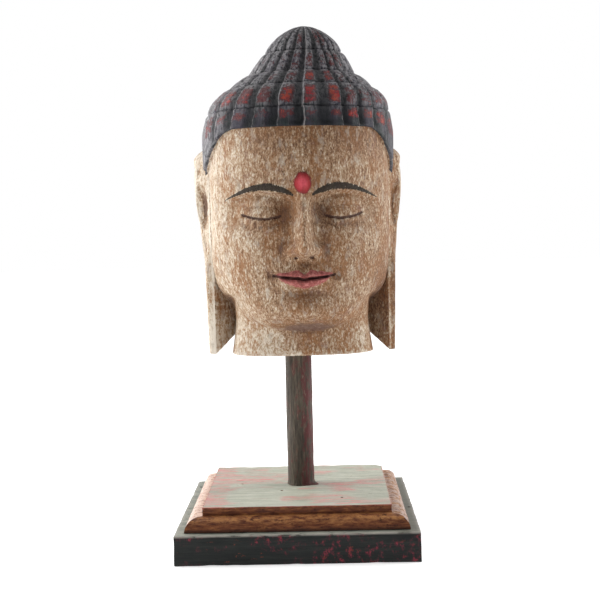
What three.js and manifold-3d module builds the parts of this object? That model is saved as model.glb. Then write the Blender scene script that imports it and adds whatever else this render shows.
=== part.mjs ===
// A carved and painted wooden Buddha head on a thin post, on a stepped wooden base.
// Millimetres, +Z up. The origin is the centre of the base's underside, and the face looks along -Y.

import * as THREE from 'three';
import { mergeVertices } from 'three/addons/utils/BufferGeometryUtils.js';
import Module from 'manifold-3d';

const wasm = await Module();
wasm.setup();

// Driving dimensions of the base
const SLAB_SIDE = 165;
const SLAB_THICKNESS = 20.5;
const SLAB_ARRIS = 0.8; // worn edge, top and bottom
const LEDGE = 6.5; // slab left showing round the moulded board
const OVOLO_RADIUS = 9.2; // quarter round that rises from the ledge
const OVOLO_STEP = 2.3; // flat between the quarter round and the upright fillet
const FILLET_HEIGHT = 5.3;
const GLUE_LINE = 0.1;

// Driving dimensions of the post, with its two blind sockets
const POST_DIAMETER = 19.8;
const POST_EXPOSED = 98.3; // from the board's top to the neck
const POST_X = 2;
const POST_Y = 4;
const POST_CHAMFER = 1;
const SOCKET_FLOOR = 4.5; // wood left under the lower socket
const NECK_SOCKET_DEPTH = 25;
const SOCKET_CLEARANCE = 0.3; // all round the post

// Driving dimensions of the head
const HEAD_HEIGHT = 233.4; // from the neck's cut underside to the crown
const HEAD_X = 5.5;
const HEAD_TURN = 3; // degrees, towards +X
const LOCKS = 24; // pleats of hair round the cap
const COLUMNS_PER_LOCK = 4;

// Smoothness of the round forms
const POST_SIDES = 32;
const OVOLO_STEPS = 6;

// Places that follow from the sizes above
const boardSide = SLAB_SIDE - 2 * LEDGE;
const boardBottom = SLAB_THICKNESS + GLUE_LINE;
const boardHeight = OVOLO_RADIUS + FILLET_HEIGHT;
const boardTop = boardBottom + boardHeight;
const neckBottom = boardTop + POST_EXPOSED;
const postBottom = boardBottom + SOCKET_FLOOR + GLUE_LINE;
const postTop = neckBottom + NECK_SOCKET_DEPTH - GLUE_LINE;
const socketRadius = POST_DIAMETER / 2 + SOCKET_CLEARANCE;

// The head is set out in hundredths of its own height, as a carver marks up the block
const UNIT = HEAD_HEIGHT / 100;
const CHIN = 11.4;
const MOUTH = 23.8;
const NOSE_BASE = 29.9;
const LID = 42.4;
const BROW = 48.5;
const HAIRLINE = 67.2;
const HAIRLINE_BEHIND_EAR = 56.5;
const HAIRLINE_NAPE = 22;
const EYE_X = 12;
const GATHER = 0.42; // how much closer the columns stand at the middle of the face
const LEAN = 2.5; // the crown leans this far towards +X
const CROWDING = 11; // degrees that the locks are crowded together on the right of the front

const radians = THREE.MathUtils.degToRad;
const smooth = THREE.MathUtils.smoothstep;
const lerp = THREE.MathUtils.lerp;

// A smooth curve through [height, size] knots that never overshoots them
function profile(knots) {
  const secants = knots.slice(1).map(([z, size], i) => (size - knots[i][1]) / (z - knots[i][0]));
  const tangents = knots.map((knot, i) => {
    const before = secants[Math.max(i - 1, 0)];
    const after = secants[Math.min(i, secants.length - 1)];
    return before * after > 0 ? (2 * before * after) / (before + after) : 0;
  });
  return (height) => {
    const z = THREE.MathUtils.clamp(height, knots[0][0], knots.at(-1)[0]);
    const next = knots.findIndex(([top], i) => i > 0 && z <= top);
    const [z0, size0] = knots[next - 1];
    const [z1, size1] = knots[next];
    const span = z1 - z0;
    const t = (z - z0) / span;
    const bend0 = tangents[next - 1] * span;
    const bend1 = tangents[next] * span;
    return (
      size0 * (1 + 2 * t) * (1 - t) ** 2 + size1 * t * t * (3 - 2 * t) +
      bend0 * t * (1 - t) ** 2 - bend1 * t * t * (1 - t)
    );
  };
}

// Skin of the neck and face: half width, reach to the front and back, and how square the section is
const skinWidth = profile([
  [0, 21.9], [7.5, 20.6], [11.4, 21], [16, 23.6], [24, 26.2], [36, 27.4], [67.2, 27.6],
]);
const skinFront = profile([
  [0, 14.1], [7.5, 14.9], [9.6, 21.5], [11.4, 25.2], [14.5, 26.8], [20, 26],
  [45, 27.4], [58, 28.3], [67.2, 27.5],
]);
const skinBack = profile([[0, 18.4], [10, 18.2], [22, 20.6], [67.2, 28.4]]);
const squareness = profile([[0, 2.7], [7.5, 2.5], [11.4, 2], [67.2, 2.1]]);
const jawLift = profile([[0, 0], [7.5, 0.7], [11.4, 1], [18, 0.55], [30, 0]]);

// Hair below the first ring, by true height
const hairWidth = profile([[22, 24], [40, 28.6], [56, 29.4], [66, 29.5], [73.1, 28.3]]);
const hairFront = profile([[56, 28.9], [67.2, 28.8], [73.1, 28.4]]);
const hairBack = profile([[22, 22], [34, 27], [50, 30.4], [64, 30.6], [73.1, 29.4]]);

// Tiers of hair, each set back from the one under it: heights, radii and how far its side swells
const TIERS = [
  { bottom: 73.1, top: 80.4, wide: 27.9, narrow: 23.2, swell: 1.3 },
  { bottom: 80.4, top: 84.7, wide: 22.4, narrow: 17.3, swell: 0.5 },
  { bottom: 84.7, top: 91.3, wide: 16.7, narrow: 12.5, swell: 0.1 },
];
const CAP = { bottom: 91.3, wide: 11.9, shoulder: 1.5, roundness: 0.6 };
const TIER_BACK = 1.04; // the rings are a little deeper behind

// Height of the hair's lower edge, level over the brow, falling at the temples and behind the ears
function hairline(angle) {
  const away = Math.abs(THREE.MathUtils.radToDeg(angle));
  const temple = (HAIRLINE - HAIRLINE_BEHIND_EAR) * smooth(away, 43, 90);
  const nape = (HAIRLINE_BEHIND_EAR - HAIRLINE_NAPE) * smooth(away, 86, 135);
  return HAIRLINE - temple - nape;
}

// How far round the locks of the right side are drawn towards the middle, evened out again behind
function crowding(turn) {
  const away = THREE.MathUtils.radToDeg(turn);
  return radians(CROWDING) * (smooth(away, 0, 70) - smooth(away, 70, 180));
}

const hill = (x, z, cx, cz, rx, rz) => Math.exp(-(((x - cx) / rx) ** 2) - ((z - cz) / rz) ** 2);

// Nose: half width and height of its ridge, from under the tip up to between the brows
const noseHalf = profile([
  [NOSE_BASE - 1.6, 5.4], [NOSE_BASE + 2, 5.2], [NOSE_BASE + 5.5, 4.2], [LID + 3, 3.3], [BROW + 6, 4.4],
]);
const noseRise = profile([
  [NOSE_BASE - 1.6, 0], [NOSE_BASE + 0.6, 5], [NOSE_BASE + 2.6, 7.2], [NOSE_BASE + 5, 6.8],
  [LID + 1, 4], [BROW - 2.5, 2.3], [BROW + 6, 0],
]);

// Forward relief of a calm, plain face: lowered lids, straight nose and closed lips
function faceRelief(x, z) {
  const side = Math.abs(x);
  const orbits =
    -1.9 * hill(side, z, EYE_X, BROW - 3.6, 8, 3.4) - 1.5 * hill(side, z, 5.6, BROW - 3.6, 3, 4);
  const lids =
    1.7 * hill(side, z, EYE_X, LID + 0.7, 6.2, 2.9) - 0.7 * hill(side, z, EYE_X, LID - 2.3, 6, 1);
  const across = Math.min(side / noseHalf(z), 1);
  const nose = noseRise(z) * (0.5 + 0.5 * Math.cos(Math.PI * across));
  const nostrils = 2 * hill(side, z, 4.2, NOSE_BASE + 1.8, 1.7, 1.8);
  const upperLip = 1.5 * hill(x, z, 0, MOUTH + 1.5, 7.4, 1.7);
  const lowerLip = 1.5 * hill(x, z, 0, MOUTH - 1.9, 6.2, 1.7);
  const mouthLine = -1.1 * hill(x, z, 0, MOUTH, 9, 0.8) - 0.6 * hill(side, z, 9.4, MOUTH + 0.2, 1.6, 1.6);
  const philtrum = -0.4 * hill(x, z, 0, MOUTH + 4, 1, 1.6);
  const chin = 1.3 * hill(x, z, 0, CHIN + 4.2, 7, 4) - 0.9 * hill(x, z, 0, MOUTH - 4.6, 6, 1.6);
  const cheeks = 1 * hill(side, z, 14, NOSE_BASE + 2, 7, 8);
  const mark = 0.7 * hill(x, z, 0, BROW + 2, 2.2, 3);
  return (
    orbits + lids + nose + nostrils + upperLip + lowerLip +
    mouthLine + philtrum + chin + cheeks + mark
  );
}

// Depth of the pleats across one lock, from its outer edge inwards: a sharp groove, a crest, a long fall
const pleat = profile([[0, 1], [0.25, 0], [0.5, 0.16], [0.75, 0.5], [1, 1]]);

// Section radius at an angle, from the half width and the reach of the half that it lies in
function sectionRadius(angle, wide, front, back, power) {
  const along = Math.cos(angle) > 0 ? front : back;
  const across = Math.abs(Math.sin(angle) / wide) ** power;
  return (across + Math.abs(Math.cos(angle) / along) ** power) ** (-1 / power);
}

// One row of the neck and face: the row follows the jaw and the hairline round the head
function skinRow(level) {
  return (turn) => {
    const hairward = smooth(level, HAIRLINE - 14, HAIRLINE);
    const angle = turn - GATHER * (1 - hairward) * Math.sin(turn) - hairward * crowding(turn);
    const jaw = 10 * smooth(Math.abs(angle), radians(22), radians(85)) * jawLift(level);
    const z = (level * hairline(angle)) / HAIRLINE + jaw * Math.max(0, Math.cos(angle / 1.6));
    const radius = sectionRadius(angle, skinWidth(level), skinFront(level), skinBack(z), squareness(level));
    const x = radius * Math.sin(angle);
    const y = -radius * Math.cos(angle);
    const facing = smooth(Math.cos(angle), 0.3, 0.7) * smooth(z, CHIN - 1.5, CHIN + 2);
    return [x, y - facing * faceRelief(x, z), z];
  };
}

// One row of hair, from the radius of the section and the depth of its grooves
function hairRow(section) {
  return (turn) => {
    const angle = turn - crowding(turn);
    const { z, radius, groove } = section(angle);
    const lock = (turn * LOCKS) / (2 * Math.PI);
    const across = THREE.MathUtils.euclideanModulo(lock, 1);
    const reach = radius - groove * pleat(lock < 1 ? across : 1 - across);
    return [reach * Math.sin(angle), -reach * Math.cos(angle), z];
  };
}

// The long locks between the hairline and the first ring
function lowerHairRow(share) {
  return hairRow((angle) => {
    const z = lerp(hairline(angle), TIERS[0].bottom, share);
    const radius = sectionRadius(angle, hairWidth(z), hairFront(z), hairBack(z), 2);
    return { z, radius, groove: 1.15 * smooth(share, -0.15, 0.3) };
  });
}

function tierRow(tier, share) {
  const z = lerp(tier.bottom, tier.top, share);
  const wide = lerp(tier.wide, tier.narrow, share) + tier.swell * Math.sin(Math.PI * share);
  return hairRow((angle) => ({
    z,
    radius: sectionRadius(angle, wide, wide, wide * TIER_BACK, 2),
    groove: Math.min(1.15, 0.06 * wide),
  }));
}

function capRow(share) {
  const z = lerp(CAP.bottom, 100, share);
  const wide = CAP.wide * (1 - share ** CAP.shoulder) ** CAP.roundness;
  return hairRow(() => ({ z, radius: wide, groove: 0.06 * wide }));
}

// Rows that need to be close together are listed by feature, the rest evenly
const chinRows = [CHIN - 1.8, CHIN, CHIN + 2.8, CHIN + 5.8];
const mouthRows = [-3.8, -2, -0.7, 0.5, 1.9, 3.6].map((above) => MOUTH + above);
const noseRows = [-1.2, 0.3, 1.9, 4.4, 7.6].map((above) => NOSE_BASE + above);
const eyeRows = [-2.6, -1, 0.8, 2.8, 4.8].map((above) => LID + above);
const foreheadRows = [BROW + 1.6, BROW + 5.2, BROW + 11.5, HAIRLINE];
const skinRows = [0, 7.5, ...chinRows, ...mouthRows, ...noseRows, ...eyeRows, ...foreheadRows].map(skinRow);
const lowerHairRows = [0, 0.25, 0.5, 0.75, 1].map(lowerHairRow);
const tierShares = [[0, 0.3, 0.65, 1], [0, 0.5, 1], [0, 0.5, 1]];
const tierRows = TIERS.flatMap((tier, i) => tierShares[i].map((share) => tierRow(tier, share)));
const capRows = [0, 0.28, 0.55, 0.8].map(capRow);

// Closes a stack of rings of points, each running anticlockwise seen from above, into one body
function closedStack(rings, bottomCentre, topCentre) {
  const count = rings[0].length;
  const positions = [...rings.flat(), bottomCentre, topCentre].flat();
  const bottom = rings.length * count;
  const top = bottom + 1;
  const index = [];
  for (let k = 0; k < count; k++) {
    const next = (k + 1) % count;
    index.push(bottom, next, k);
    for (let row = 0; row + 1 < rings.length; row++) {
      const low = row * count;
      const high = low + count;
      index.push(low + k, low + next, high + next, low + k, high + next, high + k);
    }
    const last = bottom - count;
    index.push(last + k, last + next, top);
  }
  const geometry = new THREE.BufferGeometry();
  geometry.setAttribute('position', new THREE.Float32BufferAttribute(positions, 3));
  geometry.setIndex(index);
  return geometry;
}

// A geometry as a solid that can be joined and cut, and back again
function solid(geometry) {
  const bare = geometry.clone();
  bare.deleteAttribute('normal');
  bare.deleteAttribute('uv');
  const merged = mergeVertices(bare, 1e-4);
  const vertProperties = new Float32Array(merged.attributes.position.array);
  const triVerts = new Uint32Array(merged.index.array);
  return new wasm.Manifold(new wasm.Mesh({ numProp: 3, vertProperties, triVerts }));
}

function geometryOf(manifold) {
  const { vertProperties, triVerts } = manifold.getMesh();
  const geometry = new THREE.BufferGeometry();
  geometry.setAttribute('position', new THREE.BufferAttribute(vertProperties, 3));
  geometry.setIndex(new THREE.BufferAttribute(triVerts, 1));
  geometry.computeVertexNormals();
  return geometry;
}

// An upright round bar between two heights
function bar(radius, bottom, top, sides) {
  const geometry = new THREE.CylinderGeometry(radius, radius, top - bottom, sides);
  geometry.rotateX(Math.PI / 2);
  geometry.translate(0, 0, (bottom + top) / 2);
  return geometry;
}

// Lower slab: a plain square board with its edges rubbed down
function slabGeometry() {
  const half = SLAB_SIDE / 2 - SLAB_ARRIS;
  const plan = new THREE.Shape([
    new THREE.Vector2(-half, -half),
    new THREE.Vector2(half, -half),
    new THREE.Vector2(half, half),
    new THREE.Vector2(-half, half),
  ]);
  const geometry = new THREE.ExtrudeGeometry(plan, {
    depth: SLAB_THICKNESS - 2 * SLAB_ARRIS,
    bevelSize: SLAB_ARRIS,
    bevelThickness: SLAB_ARRIS,
    bevelSegments: 1,
  });
  geometry.translate(0, 0, SLAB_ARRIS);
  return geometry;
}

// Moulded board: the profile is turned about a square, so its corners are mitred
function boardGeometry() {
  const corner = Math.SQRT2;
  const half = boardSide / 2;
  const points = [new THREE.Vector2(0, 0), new THREE.Vector2(half * corner, 0)];
  for (let step = 0; step <= OVOLO_STEPS; step++) {
    const angle = (step / OVOLO_STEPS) * (Math.PI / 2);
    const inset = OVOLO_RADIUS * (1 - Math.cos(angle));
    points.push(new THREE.Vector2((half - inset) * corner, OVOLO_RADIUS * Math.sin(angle)));
  }
  const filletHalf = half - OVOLO_RADIUS - OVOLO_STEP;
  points.push(new THREE.Vector2(filletHalf * corner, OVOLO_RADIUS));
  points.push(new THREE.Vector2(filletHalf * corner, boardHeight));
  points.push(new THREE.Vector2(0, boardHeight));
  const block = new THREE.LatheGeometry(points, 4);
  block.rotateY(Math.PI / 4);
  block.rotateX(Math.PI / 2);
  const socket = bar(socketRadius, SOCKET_FLOOR, boardHeight + 1, POST_SIDES);
  socket.translate(POST_X, POST_Y, 0);
  return geometryOf(solid(block).subtract(solid(socket)));
}

// Post: a round stick with both ends eased so that they enter the sockets
function postGeometry() {
  const radius = POST_DIAMETER / 2;
  const length = postTop - postBottom;
  const outline = [
    [0, 0],
    [radius - POST_CHAMFER, 0],
    [radius, POST_CHAMFER],
    [radius, length - POST_CHAMFER],
    [radius - POST_CHAMFER, length],
    [0, length],
  ];
  const geometry = new THREE.LatheGeometry(outline.map(([r, z]) => new THREE.Vector2(r, z)), POST_SIDES);
  geometry.rotateX(Math.PI / 2);
  return geometry;
}

// Outline of an ear seen from the front, by height: outer edge, inner arris and front face
const EAR_TOP = 63.2;
const earOuter = profile([[0, 28.9], [28, 29.6], [39, 31.1], [52, 32.4], [60, 32.5], [63.2, 30.8]]);
const earInner = profile([[0, 26.8], [28, 26.8], [36, 27.5], [63.2, 27.6]]);
const earFront = profile([[0, -3], [20, -3], [34, -1.6], [50, -1], [60, 0.6], [63.2, 3.4]]);
const earRear = profile([[0, 7], [22, 8], [44, 12], [58, 12.5], [63.2, 9]]);
const earFlare = profile([[0, 0], [26, 0], [40, 1], [63.2, 1]]); // rim stands back above the lobe
const LOBE_TIP = 0.1;
const EAR_ROWS = [LOBE_TIP, 8, 17, 26, 33, 40, 48, 55, 60, 62.2, EAR_TOP];

// One ear on the +X side, with its long lobe, as a stack of sections that run into the head
function earGeometry() {
  const rings = EAR_ROWS.map((z) => {
    const outer = earOuter(z);
    const inner = earInner(z);
    const front = earFront(z);
    const rear = earRear(z);
    const flare = earFlare(z);
    const width = outer - inner;
    return [
      [inner, front],
      [inner + 0.4 * width, front + 0.7 + 2.6 * flare],
      [inner + 0.62 * width, front + 0.3 + 3.6 * flare],
      [outer - 0.3, front + 0.8 + 5.4 * flare],
      [outer, front + 2 + 6.4 * flare],
      [outer - 0.8, rear],
      [inner - 5, rear + 1.5],
      [16, 8.6],
    ].map(([x, y]) => [x, y, z]);
  });
  const middle = (z) => [24, 5, z];
  return closedStack(rings, middle(EAR_ROWS[0]), middle(EAR_TOP));
}

// The lobe ends in a point at its front outer corner: a slanting cut rises from there
const LOBE_RISE_INWARD = 0.62;
const LOBE_RISE_BACK = 0.3;
const LOBE_TIP_X = 27.4;
const LOBE_TIP_Y = -2;

function lobeCut() {
  const size = 60;
  const geometry = new THREE.BoxGeometry(size, size, size);
  geometry.translate(0, 0, -size / 2);
  const up = new THREE.Vector3(LOBE_RISE_INWARD, -LOBE_RISE_BACK, 1).normalize();
  geometry.applyQuaternion(new THREE.Quaternion().setFromUnitVectors(new THREE.Vector3(0, 0, 1), up));
  geometry.translate(LOBE_TIP_X, LOBE_TIP_Y, LOBE_TIP);
  return geometry;
}

// Head, ears and hair are one carved block, with a blind socket for the post
function headGeometry(postInHead) {
  const count = LOCKS * COLUMNS_PER_LOCK;
  const rings = [...skinRows, ...lowerHairRows, ...tierRows, ...capRows].map((row) =>
    Array.from({ length: count }, (unused, k) => row((k / count) * 2 * Math.PI - Math.PI)),
  );
  const skull = solid(closedStack(rings, [0, 2, 0], [0, 0, 100]));
  const ear = solid(earGeometry()).subtract(solid(lobeCut()));
  const tierTop = TIERS.at(-1).top;
  const carved = skull.add(ear).add(ear.mirror([1, 0, 0])).warp((point) => {
    point[0] += LEAN * smooth(point[2], HAIRLINE, tierTop + 6);
    for (let axis = 0; axis < 3; axis++) {
      point[axis] *= UNIT;
    }
  });
  const socket = bar(socketRadius, -1, NECK_SOCKET_DEPTH, POST_SIDES);
  socket.translate(postInHead.x, postInHead.y, 0);
  return geometryOf(carved.subtract(solid(socket)));
}

function part(name, geometry, colour, roughness) {
  const material = new THREE.MeshStandardMaterial({ color: colour, roughness, metalness: 0 });
  const mesh = new THREE.Mesh(geometry, material);
  mesh.name = name;
  return mesh;
}

const slab = part('lower_slab', slabGeometry(), 0x2c332f, 0.7);

const board = part('moulded_board', boardGeometry(), 0x9a6436, 0.6);
board.position.z = boardBottom;

const post = part('post', postGeometry(), 0x5a5548, 0.75);
post.position.set(POST_X, POST_Y, postBottom);

const headGroup = new THREE.Group();
headGroup.position.set(HEAD_X, 0, neckBottom);
headGroup.rotation.z = radians(HEAD_TURN);
headGroup.updateMatrixWorld();
const postInHead = headGroup.worldToLocal(new THREE.Vector3(POST_X, POST_Y, neckBottom));
headGroup.add(part('buddha_head', headGeometry(postInHead), 0xc9ac86, 0.75));

const group = new THREE.Group();
group.add(slab, board, post, headGroup);

export default group;
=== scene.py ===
import math
from functools import partial

import bpy
import numpy as np
from mathutils import Matrix, Vector, noise


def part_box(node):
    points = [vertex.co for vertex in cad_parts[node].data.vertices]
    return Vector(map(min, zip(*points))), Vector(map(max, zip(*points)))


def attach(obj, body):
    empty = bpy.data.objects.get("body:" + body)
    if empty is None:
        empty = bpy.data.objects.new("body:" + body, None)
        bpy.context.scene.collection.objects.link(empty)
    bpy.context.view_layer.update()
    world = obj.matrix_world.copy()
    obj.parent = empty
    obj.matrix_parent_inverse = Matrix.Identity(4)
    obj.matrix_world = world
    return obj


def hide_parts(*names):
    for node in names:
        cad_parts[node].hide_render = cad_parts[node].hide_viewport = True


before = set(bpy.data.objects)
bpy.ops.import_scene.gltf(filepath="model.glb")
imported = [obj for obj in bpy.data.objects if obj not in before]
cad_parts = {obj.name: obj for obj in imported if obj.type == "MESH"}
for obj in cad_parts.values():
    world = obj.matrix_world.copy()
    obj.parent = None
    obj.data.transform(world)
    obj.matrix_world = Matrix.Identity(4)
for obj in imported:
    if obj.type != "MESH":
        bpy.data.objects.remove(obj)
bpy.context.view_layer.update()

# Lower slab: a plain square softwood board, planed flat and painted near-black green over crimson.
# Handling has rubbed its edges pale and laid the crimson bare, and its top has gone dull and grey.
slab_low, slab_high = (Vector(corner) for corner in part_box("lower_slab"))
SLAB_ARRIS = 0.0007
SLAB_CUTS = 56
SLAB_LAYERS = 10
BOARD_GRAIN = (0.030, 0.0045, 0.0045)  # length of a mark along each axis
SLAB_WEAR = 0.00028
SLAB_EDGE_WEAR = 0.0004
SLAB_RELIEF = 0.0007
EDGE_REACH = 0.0020  # how far the wear of an edge reaches into the faces beside it
RUBBED_EDGE = 0.0018
WORM_HOLE = 0.0011
SLAB_WORM_HOLES = ((-0.0782, 0.0603), (0.0795, -0.0150))


def start_piece(add_primitive, name, **placing):
    """Adds a primitive with nothing else selected, and names it."""
    bpy.ops.object.select_all(action="DESELECT")
    add_primitive(**placing)
    piece = bpy.context.object
    piece.name = name
    piece.data.name = name
    return piece


def pick(piece):
    """Selects one piece alone, as the active one."""
    bpy.ops.object.select_all(action="DESELECT")
    piece.select_set(True)
    bpy.context.view_layer.objects.active = piece


def settle(piece):
    """Puts the piece's place into its mesh, with no doubled points and every face turned outwards."""
    bpy.ops.object.mode_set(mode="OBJECT")
    pick(piece)
    bpy.ops.object.transform_apply(location=True, rotation=True, scale=True)
    bpy.ops.object.mode_set(mode="EDIT")
    bpy.ops.mesh.select_all(action="SELECT")
    bpy.ops.mesh.remove_doubles(threshold=1e-6)
    bpy.ops.mesh.normals_make_consistent(inside=False)
    bpy.ops.object.mode_set(mode="OBJECT")


def slice_along(axis, low, high, count):
    """Cuts the whole mesh into even strips, in edit mode."""
    direction = [0.0, 0.0, 0.0]
    direction[axis] = 1.0
    for step in range(1, count):
        place = [0.0, 0.0, 0.0]
        place[axis] = low + (high - low) * step / count
        bpy.ops.mesh.select_all(action="SELECT")
        bpy.ops.mesh.bisect(plane_co=place, plane_no=direction)


def weather(piece, depth, grain, seed, edge_depth=0.0, edges=()):
    """Wears the surface inwards along its grain, and more near the given edges, which it marks.

    Grain is how far a mark runs on each axis. An edge is a line, as (axis, place, axis, place).
    """
    points = piece.data.vertices
    places = np.array([point.co for point in points])
    low, high = places.min(axis=0), places.max(axis=0)
    near_edge = piece.data.attributes.new("edge", "FLOAT", "POINT")
    normals = [point.normal.copy() for point in points]
    for point, normal, mark in zip(points, normals, near_edge.data):
        fibre = Vector([point.co[i] / grain[i] + seed for i in range(3)])
        hollow = 0.5 + 0.5 * max(-1.0, min(1.0, noise.fractal(fibre, 0.8, 2.1, 4)))
        dent = max(0.0, noise.noise(point.co * 90 + Vector((seed, 0, 0))))
        gaps = [math.hypot(point.co[a] - at_a, point.co[b] - at_b) for a, at_a, b, at_b in edges]
        mark.value = math.exp(-((min(gaps, default=1.0) / EDGE_REACH) ** 2))
        wear_and_shade = point.co - normal * (depth * hollow + edge_depth * mark.value * (0.2 + 1.6 * dent))
        point.co = [min(max(wear_and_shade[i], low[i]), high[i]) for i in range(3)]


def square_edges(low, high):
    """The four upright and eight level edges of a square board."""
    sides = ((0, low.x), (0, high.x), (1, low.y), (1, high.y))
    upright = [(*a, *b) for a in sides[:2] for b in sides[2:]]
    level = [(*side, 2, z) for side in sides for z in (low.z, high.z)]
    return upright + level


def fuse(piece, other, operation):
    """Joins or cuts a piece with another, which is used up."""
    pick(piece)
    modifier = piece.modifiers.new("carve", "BOOLEAN")
    modifier.operation = operation
    modifier.solver = "MANIFOLD"
    modifier.object = other
    bpy.ops.object.modifier_apply(modifier="carve")
    bpy.data.objects.remove(other, do_unlink=True)


def bore_worm_holes(piece, places, top):
    """Small blind holes straight down into a board's top."""
    for x, y in places:
        drill = start_piece(bpy.ops.mesh.primitive_cylinder_add, "drill", vertices=10, radius=WORM_HOLE,
                            depth=6 * WORM_HOLE, location=(x, y, top))
        settle(drill)
        fuse(piece, drill, "DIFFERENCE")


slab = start_piece(bpy.ops.mesh.primitive_cube_add, "slab_painted", size=1,
                   location=(slab_low + slab_high) / 2)
bpy.ops.transform.resize(value=slab_high - slab_low)
settle(slab)
bpy.ops.object.mode_set(mode="EDIT")
bpy.ops.mesh.select_all(action="SELECT")
bpy.ops.mesh.bevel(offset=SLAB_ARRIS, segments=3, profile=0.5)
for axis, count in ((0, SLAB_CUTS), (1, SLAB_CUTS), (2, SLAB_LAYERS)):
    slice_along(axis, slab_low[axis], slab_high[axis], count)
settle(slab)
weather(slab, SLAB_WEAR, BOARD_GRAIN, 3.7, SLAB_EDGE_WEAR, square_edges(slab_low, slab_high))
bore_worm_holes(slab, SLAB_WORM_HOLES, slab_high.z)
bpy.ops.object.shade_smooth_by_angle(angle=math.radians(50))


def paint(red, green, blue):
    """A colour given as it looks on a screen, 0 to 255, as the linear values that a shader takes."""
    def linear(value):
        share = value / 255
        return share / 12.92 if share <= 0.04045 else ((share + 0.055) / 1.055) ** 2.4
    return (linear(red), linear(green), linear(blue), 1.0)


OLD_PAINT_SHEEN = 0.22


class Finish:
    """A material built up in layers, as a painter does: ground, coats, wear and dirt."""

    def __init__(self, name):
        self.material = bpy.data.materials.new(name)
        self.material.use_nodes = True
        self.tree = self.material.node_tree
        self.shader = self.tree.nodes["Principled BSDF"]
        self.place = self.node("ShaderNodeTexCoord").outputs["Object"]

    def node(self, kind, **settings):
        made = self.tree.nodes.new(kind)
        for key, value in settings.items():
            setattr(made, key, value)
        return made

    def put(self, socket, value):
        """Links an output to a socket, or sets a plain value on it."""
        if isinstance(value, bpy.types.NodeSocket):
            self.tree.links.new(value, socket)
        else:
            socket.default_value = value

    def spots(self, size, detail=4.0, roughness=0.6, shift=0.0, warp=0.0):
        """Noise whose marks are as big as size says on each axis, in metres."""
        mapping = self.node("ShaderNodeMapping")
        self.put(mapping.inputs["Vector"], self.place)
        mapping.inputs["Scale"].default_value = [1 / length for length in size]
        mapping.inputs["Location"].default_value = (shift, shift * 0.7, shift * 1.3)
        cloud = self.node("ShaderNodeTexNoise")
        self.put(cloud.inputs["Vector"], mapping.outputs["Vector"])
        cloud.inputs["Scale"].default_value = 1.0
        cloud.inputs["Detail"].default_value = detail
        cloud.inputs["Roughness"].default_value = roughness
        cloud.inputs["Distortion"].default_value = warp
        return cloud.outputs["Fac"]

    def maths(self, operation, a, b=0.0, c=0.0, clamp=False):
        made = self.node("ShaderNodeMath", operation=operation, use_clamp=clamp)
        for socket, value in zip(made.inputs, (a, b, c)):
            self.put(socket, value)
        return made.outputs[0]

    def times(self, a, b):
        return self.maths("MULTIPLY", a, b)

    def sum(self, start, *shares):
        """Start plus each (value, weight)."""
        for value, weight in shares:
            start = self.maths("MULTIPLY_ADD", value, weight, start)
        return start

    def between(self, value, low, high):
        """0 below low, 1 above high, smooth between them. Low may be the larger one."""
        made = self.node("ShaderNodeMapRange", interpolation_type="SMOOTHSTEP")
        for name, number in (("Value", value), ("From Min", low), ("From Max", high)):
            self.put(made.inputs[name], number)
        return made.outputs["Result"]

    def coat(self, amount, under, over, cover=None):
        """One colour laid over another where amount is 1, thinned to the given cover."""
        if cover is not None:
            amount = self.times(amount, cover)
        made = self.node("ShaderNodeMix", data_type="RGBA")
        for index, value in ((0, amount), (6, under), (7, over)):
            self.put(made.inputs[index], value)
        return made.outputs[2]

    def steps(self, value, *stops):
        """Colours in steps along a value: (place, red, green, blue) each."""
        made = self.node("ShaderNodeValToRGB")
        self.put(made.inputs["Fac"], value)
        ramp = made.color_ramp
        while len(ramp.elements) < len(stops):
            ramp.elements.new(0.5)
        for element, (place, *colour) in zip(ramp.elements, stops):
            element.position = place
            element.color = paint(*colour)
        return made.outputs["Color"]

    def attribute(self, name):
        return self.node("ShaderNodeAttribute", attribute_name=name).outputs["Fac"]

    def along(self, name):
        """One coordinate of the place on the piece, in metres."""
        split = self.node("ShaderNodeSeparateXYZ")
        self.put(split.inputs[0], self.place)
        return split.outputs[name]

    def zone(self, name, low, high):
        """0 on one side of a stretch of the piece along an axis and 1 on the other."""
        return self.between(self.along(name), low, high)

    def facing(self, name):
        """How far the surface faces along an axis."""
        split = self.node("ShaderNodeSeparateXYZ")
        self.put(split.inputs[0], self.node("ShaderNodeNewGeometry").outputs["Normal"])
        return split.outputs[name]

    def finish(self, colour, roughness, height, depth):
        """Colour, gloss and relief onto the shader. Depth is the relief's height in metres."""
        self.put(self.shader.inputs["Base Color"], colour)
        self.put(self.shader.inputs["Roughness"], roughness)
        bump = self.node("ShaderNodeBump")
        bump.inputs["Strength"].default_value = 1.0
        bump.inputs["Distance"].default_value = depth
        self.put(bump.inputs["Height"], height)
        self.put(self.shader.inputs["Normal"], bump.outputs["Normal"])
        self.shader.inputs["Specular IOR Level"].default_value = OLD_PAINT_SHEEN
        return self.material


def wear_their(piece, material, node):
    """Gives a piece its finish and puts it in its solid's place."""
    piece.data.materials.clear()
    piece.data.materials.append(material)
    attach(piece, "root")
    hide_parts(node)


# Where each change of paint starts on the slab and where it is full
SLAB_RED_ACROSS, SLAB_RED_UP = (-0.05, 0.03), (0.004, 0.014)
SLAB_DULL_ACROSS = (0.05, 0.08)

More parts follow.
